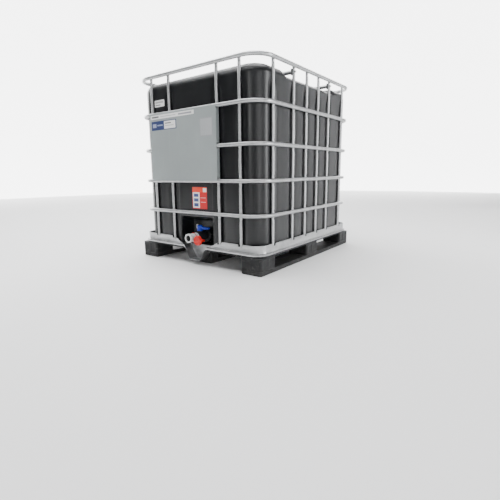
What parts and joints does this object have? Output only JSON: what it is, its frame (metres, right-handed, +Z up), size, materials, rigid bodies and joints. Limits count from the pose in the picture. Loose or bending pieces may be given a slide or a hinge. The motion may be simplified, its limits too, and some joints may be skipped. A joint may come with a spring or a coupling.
{
  "type": "intermediate bulk container",
  "caption": "Blow-moulded bulk liquid tank in a welded tube cage on a sheet-steel pan and plastic pallet, with a bottom outlet valve and top filler lid.",
  "frame": {"origin": "centre of the pallet's underside, midway between its outer sides and its front and back", "axes": "+Z up, -Y towards the front with the outlet valve, +X to the right seen from the front"},
  "size_m": [1, 1.251, 1.16],
  "materials": {
    "black_moulded_plastic": "injection moulded, satin",
    "black_blown_plastic": "blow moulded, satin",
    "galvanised_sheet": "galvanised",
    "galvanised_tube": "galvanised",
    "zinc_plated_steel": "zinc plated",
    "stainless_steel": "turned",
    "grey_painted_plate": "satin paint",
    "red_plastic": "moulded",
    "blue_plastic": "moulded",
    "pale_grey_plastic": "moulded",
    "white_plastic": "moulded",
    "seal_rubber": "moulded",
    "white_label": "printed",
    "blue_label": "printed",
    "pale_label": "printed",
    "red_label": "printed"
  },
  "bodies": {
    "container": {"pallet_deck": "black_moulded_plastic", "pallet_feet": "black_moulded_plastic", "runner_left": "black_moulded_plastic", "runner_centre": "black_moulded_plastic", "runner_right": "black_moulded_plastic", "runner_screws": "zinc_plated_steel", "pan": "galvanised_sheet", "pan_screws": "zinc_plated_steel", "ring_1": "galvanised_tube", "ring_2": "galvanised_tube", "ring_3": "galvanised_tube", "ring_4": "galvanised_tube", "ring_top": "galvanised_tube", "ring_joiners": "galvanised_tube", "front_uprights": "galvanised_tube", "rear_uprights": "galvanised_tube", "left_uprights": "galvanised_tube", "right_uprights": "galvanised_tube", "cross_bar_front": "galvanised_tube", "cross_bar_rear": "galvanised_tube", "cross_bar_bolts": "zinc_plated_steel", "tank": "black_blown_plastic", "outlet_gasket": "seal_rubber", "flange_nut": "black_moulded_plastic", "valve_body": "black_moulded_plastic", "spindle_seal": "seal_rubber", "spout": "pale_grey_plastic", "name_plate": "grey_painted_plate", "plate_clips": "galvanised_sheet", "plate_strip_label": "white_label", "plate_blue_label": "blue_label", "plate_pale_label": "pale_label", "tank_batch_label": "white_label", "tank_warning_label": "red_label"},
    "filler_seal": {"lid_gasket": "seal_rubber"},
    "filler_lid": {"filler_lid": "black_blown_plastic"},
    "vent_seal": {"vent_gasket": "seal_rubber"},
    "vent_plug": {"vent_plug": "red_plastic"},
    "lever": {"lever": "blue_plastic", "spindle": "stainless_steel", "valve_disc": "black_moulded_plastic", "disc_seal": "seal_rubber"},
    "lever_latch": {"lever_latch": "white_plastic"},
    "dust_cap": {"dust_cap": "red_plastic", "cap_strap": "red_plastic", "cap_gasket": "seal_rubber"}
  },
  "joints": [
    {"name": "lid_lift", "type": "slide", "parent": "container", "child": "filler_seal", "axis": [0, 0, 1], "range_m": [0, 0.06]},
    {"name": "lid_turn", "type": "hinge", "parent": "filler_seal", "child": "filler_lid", "pos_m": [0, 0, 1.13], "axis": [0, 0, 1], "continuous": true},
    {"name": "plug_lift", "type": "slide", "parent": "filler_lid", "child": "vent_seal", "axis": [0, 0, 1], "range_m": [0, 0.04]},
    {"name": "plug_turn", "type": "hinge", "parent": "vent_seal", "child": "vent_plug", "pos_m": [0, 0, 1.14], "axis": [0, 0, 1], "continuous": true},
    {"name": "lever_swing", "type": "hinge", "parent": "container", "child": "lever", "pos_m": [0, -0.545, 0.173], "axis": [0, 0, 1], "range_deg": [-90, 0]},
    {"name": "latch_slide", "type": "slide", "parent": "lever", "child": "lever_latch", "axis": [0, 0, 1], "range_m": [0, 0.004], "stiffness_N_per_m": 60, "springref_m": -0.003},
    {"name": "cap_swing", "type": "hinge", "parent": "container", "child": "dust_cap", "pos_m": [0, -0.61, 0.173], "axis": [0, 1, 0], "range_deg": [0, 160]}
  ]
}
